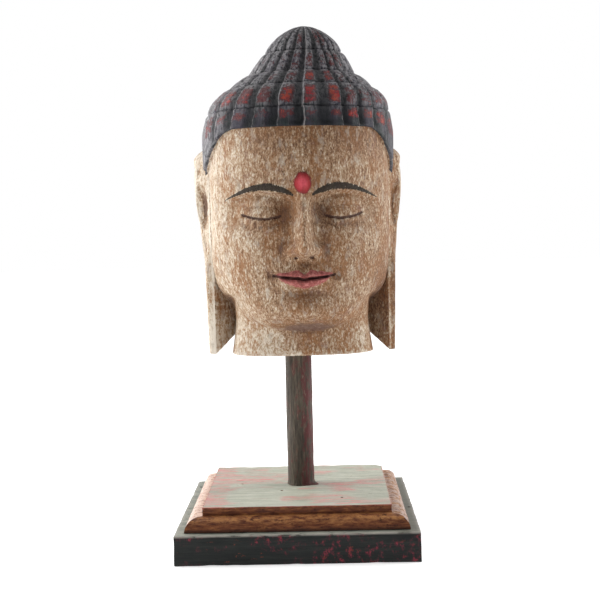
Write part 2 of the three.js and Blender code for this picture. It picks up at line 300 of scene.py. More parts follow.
plank = Finish("slab_green_black")
streaks = plank.spots((0.032, 0.0020, 0.0018), 6, 0.65)
brush = plank.spots((0.014, 0.0050, 0.0028), 6, 0.7, 4.2, 0.3)
blots = plank.spots((0.0042, 0.0045, 0.0050), 5, 0.70, 9.1)
red_zone = plank.spots((0.030, 0.030, 0.014), 2, 0.5, 2.6)
to_right = plank.zone("X", *SLAB_RED_ACROSS)
upper_half = plank.zone("Z", *SLAB_RED_UP)
red_zone = plank.between(plank.sum(red_zone, (to_right, 0.10), (upper_half, 0.10)), 0.56, 0.70)
green = plank.steps(streaks, (0.32, 16, 19, 19), (0.5, 22, 26, 25), (0.70, 34, 37, 34))
maroon = plank.times(plank.between(blots, 0.48, 0.58), red_zone)
crimson = plank.times(plank.between(blots, 0.56, 0.64), red_zone)
painted = plank.coat(maroon, green, paint(72, 28, 38), 0.8)
painted = plank.coat(crimson, painted, paint(134, 40, 54), 0.85)
orange = plank.times(plank.between(brush, 0.56, 0.64), plank.between(blots, 0.53, 0.60))
painted = plank.coat(orange, painted, paint(112, 50, 30), 0.8)
dust = plank.steps(brush, (0.34, 104, 110, 102), (0.5, 136, 140, 130), (0.66, 164, 164, 152))
dust = plank.coat(plank.between(blots, 0.58, 0.68), dust, paint(70, 74, 68))
far_right = plank.zone("X", *SLAB_DULL_ACROSS)
dust = plank.coat(far_right, dust, paint(92, 88, 76), 0.65)
upward = plank.between(plank.facing("Z"), 0.6, 0.85)
slab_colour = plank.coat(upward, painted, dust)
top_edge = plank.zone("Z", slab_high.z - RUBBED_EDGE, slab_high.z - RUBBED_EDGE / 3)
rubbed = plank.times(plank.times(plank.attribute("edge"), top_edge), plank.between(brush, 0.34, 0.46))
slab_colour = plank.coat(rubbed, slab_colour, paint(158, 154, 146), 0.8)
slab_gloss = plank.sum(0.36, (plank.between(brush, 0.2, 0.9), 0.28))
slab_relief = plank.sum(0, (streaks, 0.5), (blots, 0.3), (brush, 0.4))
wear_their(slab, plank.finish(slab_colour, slab_gloss, slab_relief, SLAB_RELIEF), "lower_slab")

# Moulded board: one square board glued on the slab, run with a quarter round, a small flat and an
# upright fillet. The moulding is rubbed brown and gold, with a painted highlight along the top of the
# quarter round and pale ends that are partly worn and partly painted sheen. The top is grey-green
# over pink.
board_low, board_high = (Vector(corner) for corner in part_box("moulded_board"))
OVOLO_RADIUS = 0.0092
OVOLO_STEP = 0.0023
OVOLO_STEPS = 9
BOARD_CUTS = 56
BOARD_WEAR = 0.00035
BOARD_EDGE_WEAR = 0.0005
BOARD_RELIEF = 0.0008
BOARD_LAYERS = 22
BOARD_WORM_HOLES = ((-0.0415, 0.0047), (-0.0117, -0.0178), (0.0310, -0.0420))
CORNER_CHIP = (0.0646, 0.0640)
CHIP_SIZE = 0.0052
FOOT_LINE = 0.0024
BARE_AND_SHEEN_ACROSS, PINK_ACROSS = (0.02, -0.02), (-0.046, -0.056)
board_half = board_high.x
fillet_half = board_half - OVOLO_RADIUS - OVOLO_STEP

board = start_piece(bpy.ops.mesh.primitive_plane_add, "board_moulded", size=2 * board_half,
                    location=(0, 0, board_low.z))
bpy.ops.object.mode_set(mode="EDIT")
bpy.ops.mesh.select_all(action="SELECT")


def raise_and_narrow(rise, old_half, new_half):
    """Extrudes the selected top face up and draws it in."""
    bpy.ops.mesh.extrude_region_move(TRANSFORM_OT_translate={"value": (0, 0, rise)})
    share = new_half / old_half
    bpy.ops.transform.resize(value=(share, share, 1), center_override=(0, 0, 0))


half, height = board_half, 0.0
for step in range(1, OVOLO_STEPS + 1):
    turn = math.radians(90) * step / OVOLO_STEPS
    next_half = board_half - OVOLO_RADIUS * (1 - math.cos(turn))
    next_height = OVOLO_RADIUS * math.sin(turn)
    raise_and_narrow(next_height - height, half, next_half)
    half, height = next_half, next_height
raise_and_narrow(0.0, half, fillet_half)
raise_and_narrow(board_high.z - board_low.z - OVOLO_RADIUS, fillet_half, fillet_half)
bpy.ops.mesh.select_all(action="SELECT")
bpy.ops.mesh.normals_make_consistent(inside=False)
for axis, count in ((0, BOARD_CUTS), (1, BOARD_CUTS), (2, BOARD_LAYERS)):
    slice_along(axis, board_low[axis], board_high[axis], count)
settle(board)
fillet_low = Vector((-fillet_half, -fillet_half, board_low.z + OVOLO_RADIUS))
fillet_high = Vector((fillet_half, fillet_half, board_high.z))
weather(board, BOARD_WEAR, BOARD_GRAIN, 8.3, BOARD_EDGE_WEAR, square_edges(fillet_low, fillet_high))
bore_worm_holes(board, BOARD_WORM_HOLES, board_high.z)
chip = start_piece(bpy.ops.mesh.primitive_ico_sphere_add, "chip", subdivisions=2, radius=CHIP_SIZE,
                   location=(*CORNER_CHIP, board_high.z + 0.4 * CHIP_SIZE))
settle(chip)
fuse(board, chip, "DIFFERENCE")
bpy.ops.object.shade_smooth_by_angle(angle=math.radians(40))

gilt = Finish("board_gilt_and_green")
streaks = gilt.spots((0.026, 0.0013, 0.0016), 6, 0.68, 1.1)
cross = gilt.spots((0.0085, 0.0085, 0.0017), 6, 0.72, 7.7, 0.3)
flecks = gilt.spots((0.0035, 0.0028, 0.0022), 5, 0.75, 3.3)
pink_zone = gilt.spots((0.045, 0.018, 0.018), 3, 0.6, 5.9)
gold = gilt.steps(cross, (0.28, 54, 28, 20), (0.42, 92, 50, 32), (0.55, 122, 72, 44),
                  (0.68, 158, 106, 62), (0.76, 194, 146, 92))
# Painted highlight: lighter gold on the upward-facing top of the quarter round
shoulder_highlight = gilt.times(gilt.between(gilt.facing("Z"), 0.4, 0.85), gilt.between(cross, 0.38, 0.6))
gold = gilt.coat(shoulder_highlight, gold, paint(182, 130, 78), 0.55)
gold = gilt.coat(gilt.between(flecks, 0.57, 0.66), gold, paint(58, 30, 18))
foot_line = gilt.zone("Z", board_low.z + FOOT_LINE, board_low.z + FOOT_LINE / 4)
gold = gilt.coat(foot_line, gold, paint(50, 27, 17), 0.7)
# The end faces of the moulding are painted pale cream, more on the left: partly worn to the pale ground,
# partly a painted sheen of the bright surround on faces seen edge-on
from_side, from_front = (gilt.maths("ABSOLUTE", gilt.along(axis)) for axis in "XY")
sideways = gilt.between(gilt.maths("SUBTRACT", from_side, from_front), -0.0003, 0.0006)
to_left = gilt.zone("X", *BARE_AND_SHEEN_ACROSS)
bare = gilt.between(gilt.sum(0, (cross, 0.4), (flecks, 0.6), (to_left, -0.055)), 0.56, 0.47)
bare = gilt.times(gilt.times(sideways, bare), gilt.sum(0.58, (to_left, 0.37)))
cream = gilt.steps(flecks, (0.34, 230, 210, 196), (0.5, 214, 186, 170), (0.6, 188, 150, 134))
gold = gilt.coat(bare, gold, cream)
grey = gilt.steps(streaks, (0.3, 128, 132, 118), (0.45, 164, 167, 152), (0.58, 182, 183, 168),
                  (0.7, 204, 201, 186))
left_patch = gilt.zone("X", *PINK_ACROSS)
pink_zone = gilt.between(gilt.sum(pink_zone, (left_patch, 0.16)), 0.47, 0.60)
pink = gilt.times(gilt.between(streaks, 0.475, 0.55), pink_zone)
top_colour = gilt.coat(pink, grey, paint(204, 116, 116), 0.85)
top_colour = gilt.coat(gilt.between(flecks, 0.62, 0.70), top_colour, paint(102, 96, 82))
upward = gilt.between(gilt.facing("Z"), 0.93, 0.985)
on_top = gilt.zone("Z", board_high.z - 0.0022, board_high.z - 0.0014)
board_colour = gilt.coat(gilt.times(on_top, upward), gold, top_colour)
red_arris = gilt.times(gilt.between(gilt.attribute("edge"), 0.65, 0.95), gilt.between(flecks, 0.42, 0.54))
red_arris = gilt.times(red_arris, gilt.zone("Z", board_high.z - 0.002, board_high.z - 0.001))
board_colour = gilt.coat(red_arris, board_colour, paint(176, 96, 84), 0.75)
board_gloss = gilt.sum(0.32, (gilt.between(cross, 0.3, 0.7), 0.25))
board_relief = gilt.sum(0, (streaks, 0.6), (cross, 0.5))
board_finish = gilt.finish(board_colour, board_gloss, board_relief, BOARD_RELIEF)
wear_their(board, board_finish, "moulded_board")

# Post: a thin round stick glued into the board below and the neck above, painted dull dark olive
# by brush, with maroon showing in upright streaks and a little glue squeezed out at both ends.
post_low, post_high = (Vector(corner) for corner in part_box("post"))
POST_CUTS = 96
POST_SIDES = 64
POST_WEAR = 0.0005
POST_RELIEF = 0.0007
POST_GRAIN = (0.0045, 0.0045, 0.022)
BEAD_HEIGHT = 0.0035
BEAD_WIDTH = 0.0011
LUG_REACH = 0.0044
LUG_DIRECTION, LUG_WIDTH = -0.35, 0.28  # in radians round the stick
post_radius = (post_high.x - post_low.x) / 2
post_middle = (post_low + post_high) / 2
neck_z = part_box("buddha_head")[0][2]


def squeeze_out_glue(piece):
    """A low bead round the stick at both ends, with one lug of glue that has run out at its foot."""
    for point in piece.data.vertices:
        away = Vector((point.co.x - post_middle.x, point.co.y - post_middle.y, 0))
        turn = math.atan2(away.y, away.x)
        uneven = 0.55 + 0.45 * math.sin(3 * turn + 1) * math.sin(2 * turn)
        at_foot = max(0.0, 1 - abs(point.co.z - board_high.z) / BEAD_HEIGHT)
        at_neck = max(0.0, 1 - abs(point.co.z - neck_z) / BEAD_HEIGHT)
        lug = math.exp(-(((turn - LUG_DIRECTION) / LUG_WIDTH) ** 2))
        swell = BEAD_WIDTH * uneven * (at_foot ** 2 + at_neck ** 2) + LUG_REACH * lug * at_foot ** 2.5
        point.co += away.normalized() * swell


post = start_piece(bpy.ops.mesh.primitive_cylinder_add, "post_stick", vertices=POST_SIDES, radius=post_radius,
                   depth=post_high.z - post_low.z, location=post_middle)
settle(post)
bpy.ops.object.mode_set(mode="EDIT")
slice_along(2, post_low.z, post_high.z, POST_CUTS)
settle(post)
weather(post, POST_WEAR, POST_GRAIN, 5.2)
squeeze_out_glue(post)
bpy.ops.object.shade_smooth_by_angle(angle=math.radians(40))

olive = Finish("post_olive")
streaks = olive.spots((0.0018, 0.0018, 0.018), 6, 0.7, 2.2)
blotches = olive.spots((0.0042, 0.0042, 0.010), 5, 0.72, 6.4, 0.3)
to_right = olive.zone("X", post_middle.x - 0.2 * post_radius, post_middle.x + 0.7 * post_radius)
stick = olive.steps(streaks, (0.32, 44, 39, 34), (0.5, 78, 70, 60), (0.68, 112, 103, 88))
maroon = olive.sum(blotches, (to_right, 0.14), (olive.between(streaks, 0.4, 0.6), 0.1))
stick = olive.coat(olive.between(maroon, 0.58, 0.74), stick, paint(92, 42, 44), 0.85)
pale = olive.between(olive.sum(blotches, (streaks, 0.5)), 0.88, 0.96)
stick = olive.coat(pale, stick, paint(134, 126, 108), 0.5)
post_gloss = olive.sum(0.4, (streaks, 0.3))
post_relief = olive.maths("ADD", streaks, blotches)
wear_their(post, olive.finish(stick, post_gloss, post_relief, POST_RELIEF), "post")

# Head: carved from one block of wood with its neck, ears and hair, then painted. The cream paint of
# the skin has worn through along the upright grain, and the black hair over its red ground.
head_low, head_high = (Vector(corner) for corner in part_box("buddha_head"))
HEAD_X = 0.0055
HEAD_TURN = math.radians(3)
HEAD_WEAR = 0.00035
HEAD_RELIEF = 0.0011
HEAD_GRAIN = (0.0042, 0.0042, 0.016)
NECK_SOCKET_DEPTH = 0.025
SOCKET_CLEARANCE = 0.0003

# From here the head is set out in hundredths of its height, from the underside of its neck
UNIT = (head_high.z - head_low.z) / 100
LEAN = 2.5
LOCKS = 24
COLUMNS_PER_LOCK = 12
COLUMNS = LOCKS * COLUMNS_PER_LOCK
CREST_STEPS = (0, 0.05, 0.09, 0.14, 0.22, 0.33, 0.45, 0.56, 0.66, 0.75, 0.84, 0.93, 1)
CREST = 0.09
LOCK_DEPTH = 1.35
CROWDING = math.radians(11)  # how far the right side's locks are drawn towards the middle
GATHER = 0.42  # how much closer together the columns stand on the face than behind
UNDER_CHIN = 7.5
CHIN, MOUTH, NOSE_BASE, LID, BROW = 11.4, 23.8, 29.9, 42.4, 48.5
EYE_X = 12
MARK_Z = BROW + 2.6
HAIRLINE, HAIRLINE_BEHIND_EAR, HAIRLINE_NAPE = 67.2, 56.5, 22
RINGS = (73.1, 80.4, 84.7, 91.3)
TIER_REACHES = ((27.9, 23.2, 1.3), (22.4, 17.3, 0.5), (16.7, 12.5, 0.1))  # at foot, at top, swell
CAP_REACH = 11.9


def smooth(value, low, high):
    share = np.clip((value - low) / (high - low), 0, 1)
    return share * share * (3 - 2 * share)


def within(value, low, rise, fall, high):
    """1 from rise to fall, easing to 0 at low and at high."""
    return smooth(value, low, rise) * (1 - smooth(value, fall, high))


def profile(knots, height):
    """A smooth curve through (height, size) knots that never overshoots them."""
    z, size = np.array(knots, float).T
    secant = np.diff(size) / np.diff(z)
    before, after = np.append(secant[0], secant), np.append(secant, secant[-1])
    product = before * after
    level = np.where(product > 0, before + after, 1)
    tangent = np.where(product > 0, 2 * product / level, 0)
    height = np.clip(height, z[0], z[-1])
    i = np.clip(np.searchsorted(z, height, side="right") - 1, 0, len(z) - 2)
    span = z[i + 1] - z[i]
    t = (height - z[i]) / span
    return (size[i] * (1 + 2 * t) * (1 - t) ** 2 + size[i + 1] * t * t * (3 - 2 * t)
            + tangent[i] * span * t * (1 - t) ** 2 - tangent[i + 1] * span * t * t * (1 - t))


def hill(x, z, cx, cz, rx, rz):
    return np.exp(-(((x - cx) / rx) ** 2) - ((z - cz) / rz) ** 2)


def ridge(value, centre, width):
    return np.exp(-(((value - centre) / width) ** 2))


def hairline(turn):
    away = np.abs(np.degrees(turn))
    temple = (HAIRLINE - HAIRLINE_BEHIND_EAR) * smooth(away, 43, 90)
    nape = (HAIRLINE_BEHIND_EAR - HAIRLINE_NAPE) * smooth(away, 86, 135)
    return HAIRLINE - temple - nape


def brow_line(side):
    """Height of the brow's arc at a distance from the middle of the face."""
    along = np.clip((side - 2.4) / 22, 0, 1)
    return BROW - 1.6 + 3.4 * np.sin(math.pi * along ** 0.85) - 1.4 * along


def lid_line(side):
    """Height of the lowered upper lid's edge."""
    across = (side - EYE_X) / 5.8
    return LID - 1.15 * (1 - across ** 2) + 0.35 * across


def mouth_line(x):
    return MOUTH + 0.8 * (x / 8.4) ** 2 - 0.3 * ridge(x, 0, 1.3)


def upper_lip_line(x):
    side = np.abs(x)
    bow = 0.45 * ridge(side, 2.1, 1.5) - 0.5 * ridge(x, 0, 1.1)
    return mouth_line(x) + (2.15 + bow) * np.sqrt(np.clip(1 - (side / 8.6) ** 2, 0, 1))


def lower_lip_line(x):
    return mouth_line(x) - 2.7 * np.clip(1 - (np.abs(x) / 7.9) ** 2, 0, 1) ** 0.7


def nose_relief(x, z):
    """A straight nose with a rounded ridge, soft wings and a clear edge under its tip."""
    side = np.abs(x)
    half = profile([(NOSE_BASE - 1.6, 5.4), (NOSE_BASE + 2, 5.2), (NOSE_BASE + 5.5, 4.2), (LID + 3, 3.3),
                    (BROW + 6, 4.4)], z)
    rise = profile([(NOSE_BASE - 1.6, 0), (NOSE_BASE + 0.6, 5), (NOSE_BASE + 2.6, 7.2), (NOSE_BASE + 5, 6.8),
                    (LID + 1, 4), (BROW - 2.5, 2.3), (BROW + 6, 0)], z)
    relief = rise * (0.5 + 0.5 * np.cos(math.pi * np.clip(side / half, 0, 1)))
    relief += 2.1 * hill(side, z, 4.2, NOSE_BASE + 1.9, 1.6, 1.7)
    wing_edge = np.hypot(side - 4.0, z - NOSE_BASE - 1.8)
    relief -= 0.45 * ridge(wing_edge, 2.7, 0.5) * smooth(side, 3.6, 5.4) * smooth(z, NOSE_BASE, NOSE_BASE + 2)
    return relief - 1.7 * hill(side, z, 2.3, NOSE_BASE - 0.1, 1.0, 0.6)


def eye_relief(side, z):
    """A round eyeball under a heavy lowered lid, with the lid's edge and the fold above it."""
    ball = 1 - ((side - EYE_X) / 7.2) ** 2 - ((z - LID - 0.9) / 4.6) ** 2
    relief = 2.1 * np.clip(ball, 0, 1) ** 0.85
    across = within(side, EYE_X - 6.4, EYE_X - 4.8, EYE_X + 4.8, EYE_X + 6.4)
    under = lid_line(side) - z
    relief -= 0.75 * across * within(under, -0.12, 0.25, 0.4, 3.2)
    relief -= 0.45 * across * ridge(under, 0.25, 0.3)
    fold = lid_line(side) + 3.5 - 2.2 * ((side - EYE_X) / 6.8) ** 2
    return relief - 0.3 * across * ridge(z, fold, 0.42)


def mouth_relief(x, z):
    """Closed full lips with a cut line between them, small corners and the groove over them."""
    side = np.abs(x)
    parting, upper, lower = mouth_line(x), upper_lip_line(x), lower_lip_line(x)
    upper_share = np.clip((z - parting) / np.maximum(upper - parting, 0.05), 0, 1)
    lower_share = np.clip((parting - z) / np.maximum(parting - lower, 0.05), 0, 1)
    lips = 1 - smooth(side, 6.6, 8.8)
    relief = 1.6 * hill(x, z, 0, MOUTH, 9.5, 4.8)
    relief += 1.15 * lips * np.where(z > parting, np.sin(math.pi * upper_share ** 0.7), 0)
    relief += 1.35 * lips * np.where(z <= parting, np.sin(math.pi * lower_share ** 0.8), 0)
    relief -= 0.75 * (1 - smooth(side, 8.2, 9.6)) * ridge(z, parting, 0.42)
    relief -= 0.7 * hill(side, z, 9.3, MOUTH + 0.8, 1.3, 1.4)
    relief -= 0.5 * hill(x, z, 0, MOUTH + 4.2, 0.95, 1.7)
    return relief + 0.2 * hill(side, z, 1.7, MOUTH + 4.2, 0.7, 1.7)


def face_relief(x, z):
    """Forward relief of a calm, plain face: lowered lids, straight nose and closed lips."""
    side = np.abs(x)
    brow = brow_line(side)
    socket = smooth(brow - z, -0.4, 2.0) * within(side, 2.2, 5, 18, 25)
    relief = -1.3 * socket * smooth(z, LID - 8, LID + 3)
    relief += 0.3 * ridge(z, brow + 0.4, 1.2) * (1 - smooth(side, 18, 25))
    relief -= 1.1 * hill(side, z, EYE_X, BROW - 4, 8, 3.2) + 1.2 * hill(side, z, 5.6, BROW - 5, 2.4, 3.8)
    relief += eye_relief(side, z) + nose_relief(x, z) + mouth_relief(x, z)
    relief += 1.8 * hill(x, z, 0, CHIN + 4.2, 6.6, 3.8) - 0.9 * hill(x, z, 0, MOUTH - 4.6, 6, 1.4)
    relief += 1.2 * hill(side, z, 14.5, NOSE_BASE + 2.5, 7, 8)
    mark = 1 - (x / 2.6) ** 2 - ((z - MARK_Z) / 3.3) ** 2
    return relief + 0.8 * np.clip(mark, 0, 1) ** 0.6


def face_marks(x, z):
    """Where the painter's brush went: 1 well inside each painted shape, 0 at its edge, -1 outside. The line
    mark also darkens the nostrils as painted shade, and hollow marks painted shade in the face's creases.
    """
    side = np.abs(x)
    along = (side - 2.5) / 21
    brow_half = 1.2 * np.sin(math.pi * np.clip(along, 0, 1) ** 0.6) ** 0.9
    from_arc = np.abs(z - brow_line(side) - 0.5)
    brow = np.where((along > 0) & (along < 1), 1 - from_arc / np.maximum(brow_half, 0.05), -1)
    mark = 2.5 * (1 - np.hypot(x / 2.7, (z - MARK_Z) / 3.4))
    lips = np.where(side < 8.7, np.minimum(upper_lip_line(x) - z, z - lower_lip_line(x)) / 0.7, -1)
    eye = within(side, EYE_X - 6.6, EYE_X - 5.4, EYE_X + 5.4, EYE_X + 6.6)
    lid = (1 - np.abs(z - lid_line(side) + 0.15) / 0.42) * eye - (1 - eye)
    parting = np.where(side < 9.4, 1 - np.abs(z - mouth_line(x)) / 0.42, -1)
    # Painted shade in the nostrils
    nostril = 1.6 * hill(side, z, 2.3, NOSE_BASE - 0.2, 1.1, 0.6) - 1
    line = np.maximum(np.maximum(lid, parting), nostril)
    # Painted shade in the creases: beside the nose and its wings, under the eyes and lip, at the mouth's
    # corners and under the nose
    hollow = (0.8 * hill(side, z, 5.4, BROW - 6, 2.6, 4) + 0.9 * hill(side, z, 6.6, NOSE_BASE + 2.5, 1.3, 3)
              + 0.6 * hill(side, z, EYE_X, LID - 3.2, 6, 1.2) + 0.6 * hill(x, z, 0, MOUTH - 4.4, 6, 1.2)
              + 0.7 * hill(side, z, 9.6, MOUTH + 0.6, 1.4, 1.6)
              + 0.5 * hill(x, z, 0, NOSE_BASE - 2.4, 3.4, 1.3))
    return {"brow": brow, "mark": mark, "lips": lips, "line": line, "hollow": hollow}


def section_radius(turn, wide, front, back, power):
    along = np.where(np.cos(turn) > 0, front, back)
    return (np.abs(np.sin(turn) / wide) ** power + np.abs(np.cos(turn) / along) ** power) ** (-1 / power)


def crowding(turn):
    """How far the locks of the right side are drawn towards the middle, evened out again behind."""
    away = np.degrees(turn)
    return CROWDING * (smooth(away, 0, 70) - smooth(away, 70, 180))


def lock_place(turn):
    """A column's lock, how far across it from the outer edge it is, and the turn that puts it there."""
    along = turn * LOCKS / (2 * math.pi)
    number = np.floor(along + 1e-6)
    even = along - number
    outer_first = number < 1
    evenly = np.linspace(0, 1, COLUMNS_PER_LOCK + 1)
    across = np.interp(np.where(outer_first, even, 1 - even), evenly, CREST_STEPS)
    placed = (number + np.where(outer_first, across, 1 - across)) * 2 * math.pi / LOCKS
    return number, across, placed


def strand(turn, level):
    """Where across its lock a column is, and its angle there, wandering a little as a hand cuts it."""
    across, placed = lock_place(turn)[1:]
    wander = 0.010 * np.sin(0.22 * level + 3 * turn) + 0.003 * np.sin(0.9 * level + 7 * turn + 1)
    return across, placed - crowding(placed) + wander


def skin(level, turn):
    """Places on the neck and face. Each row follows the jaw and the hairline round the head."""
    hairward = smooth(level, HAIRLINE - 14, HAIRLINE)
    angle = turn + hairward * (strand(turn, level)[1] - turn) - GATHER * (1 - hairward) * np.sin(turn)
    lift = profile([(0, 0), (UNDER_CHIN, 0.7), (CHIN, 1), (18, 0.55), (30, 0)], level)
    jaw = 10 * smooth(np.abs(angle), math.radians(22), math.radians(85)) * lift
    z = level * hairline(angle) / HAIRLINE + jaw * np.maximum(0, np.cos(angle / 1.6))
    wide = profile([(0, 21.9), (UNDER_CHIN, 20.6), (CHIN, 21), (16, 23.6), (24, 26.2), (36, 27.4),
                    (HAIRLINE, 27.6)], level)
    front = profile([(0, 14.1), (UNDER_CHIN, 14.9), (9.6, 21.5), (CHIN, 25.2), (14.5, 26.8), (20, 26),
                     (45, 27.4), (58, 28.3), (HAIRLINE, 27.5)], level)
    back = profile([(0, 18.4), (10, 18.2), (HAIRLINE_NAPE, 20.6), (HAIRLINE, 28.4)], z)
    power = profile([(0, 2.7), (UNDER_CHIN, 2.5), (CHIN, 2), (HAIRLINE, 2.1)], level)
    radius = section_radius(angle, wide, front, back, power)
    x, y = radius * np.sin(angle), -radius * np.cos(angle)
    facing = smooth(np.cos(angle), 0.3, 0.7) * smooth(z, CHIN - 1.5, CHIN + 2)
    return x, y - facing * face_relief(x, z), z


def pleat(across):
    """Depth across one lock: a sharp step up to its crest, a flat face and a broad deep groove."""
    return profile([(0, 1), (0.05, 0.5), (CREST, 0), (0.22, 0.08), (0.56, 0.27), (0.7, 0.6),
                    (0.84, 0.94), (1, 1)], across)


def hair(angle, z, radius, groove, across):
    reach = radius - groove * pleat(across)
    return reach * np.sin(angle), -reach * np.cos(angle), z + 0 * angle


def lower_hair(share, turn):
    """Long locks from the hairline to the first ring, with a rounded lip over the skin."""
    across, angle = strand(turn, RINGS[0] - 15 * (1 - share))
    z = hairline(angle) + (RINGS[0] - hairline(angle)) * share
    wide = profile([(HAIRLINE_NAPE, 24), (40, 28.6), (56, 29.4), (66, 29.5), (RINGS[0], 28.3)], z)
    front = profile([(56, 28.9), (HAIRLINE, 28.8), (RINGS[0], 28.4)], z)
    back = profile([(HAIRLINE_NAPE, 22), (34, 27), (50, 30.4), (64, 30.6), (RINGS[0], 29.4)], z)
    above = (z - hairline(angle)) / 0.9
    lip = 0.55 * (1 - np.sqrt(np.clip(1 - (1 - np.clip(above, 0, 1)) ** 2, 0, 1)))
    lip += 0.35 * smooth(share, 0.95, 1)
    radius = section_radius(angle, wide, front, back, 2) - lip
    return hair(angle, z, radius, LOCK_DEPTH * smooth(share, -0.15, 0.3), across)


def tier(ring, share, turn):
    """One ring of locks, set back from the one under it, its top edge a little rounded."""
    wide, narrow, swell = TIER_REACHES[ring]
    z = RINGS[ring] + (RINGS[ring + 1] - RINGS[ring]) * share
    reach = wide + (narrow - wide) * share + swell * np.sin(math.pi * share)
    reach = reach - 0.4 * smooth(share, 0.9, 1) - 0.3 * (1 - smooth(share, 0, 0.07))
    across, angle = strand(turn, z)
    radius = section_radius(angle, reach, reach, 1.04 * reach, 2)
    return hair(angle, z, radius, np.minimum(LOCK_DEPTH, 0.07 * reach), across)


def cap(share, turn):
    z = RINGS[3] + (100 - RINGS[3]) * share
    reach = CAP_REACH * (1 - share ** 1.5) ** 0.6 * (1 - 0.04 * (1 - smooth(share, 0, 0.07)))
    across, angle = strand(turn, z)
    return hair(angle, z, reach + 0 * turn, 0.085 * reach, across)


# Locks worn down to their red ground, and how far: from the lowest ring up, counted from the middle
RED_LOCKS = (
    {-5: 0.8, -4: 0.6, -3: 0.7, -2: 0.5, -1: 0.8, 0: 0.4, 1: 0.6, 2: 1.1, 3: 1.0, 4: 1.1, 5: 0.8},
    {-5: 0.5, -4: 0.8, -3: 0.9, -2: 0.8, -1: 1.0, 0: 1.1, 1: 1.2, 2: 0.7, 3: 0.5, 4: 0.7, 5: 0.5},
    {-2: 0.3, -1: 0.6, 0: 1.2, 1: 1.0, 2: 0.5},
    {-2: 0.3, -1: 0.5, 0: 0.6, 1: 0.3, 2: 0.6, 3: 0.6},
    {-3: 0.3, -1: 0.5, 1: 0.5, 2: 0.6},
)
RED_ELSEWHERE = 0.12
RED_FROM = (0.30, 0.02, 0.02, 0.02, 0.02)
# How strongly each ring's top edge gets a painted highlight
TOP_EDGE_HIGHLIGHTS = (0.5, 0.6, 1.0, 0.8, 0.0)


def lock_luck(number, ring):
    """A number from 0 to 1 that looks drawn by lot, and is fixed for each lock of each ring."""
    return np.modf(np.abs(np.sin(number * 12.9898 + ring * 78.233)) * 43758.5453)[0]


def hair_marks(ring, shares):
    """Marks on one ring of locks: pale crests and top edges, partly rubbed and partly painted highlight,
    painted shade in the grooves and along the ring's foot, and red ground laid bare in tiles.
    """
    number, across = lock_place(turns)[:2]
    share = shares[:, None]
    chance, other = lock_luck(number, ring + 2), lock_luck(number, ring + 9)
    bare = np.array([RED_LOCKS[ring].get(int(lock), RED_ELSEWHERE) for lock in number[0]])
    face = within(across, 0.05, 0.2, 0.55, 0.8)
    middle = within(share, RED_FROM[ring], RED_FROM[ring] + 0.25, 0.7, 1)
    top_edge = within(share, 0.83, 0.93, 0.985, 1) * (1 - smooth(across, 0.55, 0.75))
    # Painted shade in each lock's groove and, by lot, along the ring's foot
    groove = np.maximum(smooth(across, 0.58, 0.80), 1 - smooth(across, 0, 0.05))
    return {
        "hair": 1 + 0 * share * across,
        # Pale crests, partly rubbed and partly painted highlight, and painted highlights on the ring's top
        # edge
        "crest": np.maximum(ridge(across, CREST, 0.045) * (0.65 + 0.35 * other),
                            top_edge * TOP_EDGE_HIGHLIGHTS[ring] * (0.5 + 0.5 * chance)),
        "groove": np.maximum(groove, (0.2 + 0.5 * chance) * (1 - smooth(share, 0.0, 0.05))) + 0 * share,
        "red": bare * face * middle,
    }


# The rows of the head's surface, from the middle of the neck's underside to the crown
neck_rows = np.concatenate([np.linspace(0, UNDER_CHIN - 0.3, 9), np.linspace(UNDER_CHIN + 0.3, CHIN + 1, 9)])
face_rows = np.concatenate([neck_rows, np.linspace(CHIN + 1.5, BROW + 6, 108),
                            np.linspace(BROW + 6.6, HAIRLINE, 22)])
turns = np.linspace(-math.pi, math.pi, COLUMNS + 1)[None, :]


def stack(rows, shape):
    """Places for every row and column of one stretch of the surface."""
    column = np.asarray(rows, float)[:, None]
    x, y, z = shape(column, turns)
    return np.stack([x, y, np.broadcast_to(z, x.shape)], axis=-1)


face = stack(face_rows, skin)
underside = [face[:1] * (share, share, 1) for share in (0, 0.5, 0.9, 0.985)]
underside[3][..., 2] = 0
face[0, :, 2] += 0.25
ring_shares = [np.linspace(0, 1, 34) ** 1.1] + [np.linspace(0, 1, count) for count in (24, 16, 20, 26)]
ring_shapes = [lower_hair, *(partial(tier, ring) for ring in range(3)), cap]
surface = np.concatenate([*underside, face, *(stack(s, shape) for s, shape in zip(ring_shares, ring_shapes))])
skin_x, skin_y, skin_z = np.moveaxis(surface[:len(underside) + len(face)], -1, 0)
OUTSIDE = {"hair": 0, "crest": 0, "groove": 0, "red": 0, "hollow": 0, "rim": 0,
           "brow": -1, "mark": -1, "lips": -1, "line": -1}


def all_marks(shape, given):
    """Every mark as an array of the given shape, blank where a stretch has none of it."""
    return {key: np.broadcast_to(np.clip(given.get(key, blank), -1, 2), shape)
            for key, blank in OUTSIDE.items()}


skin_marks = {key: np.where(skin_y < -5, value, OUTSIDE[key])
              for key, value in face_marks(skin_x, skin_z).items()}

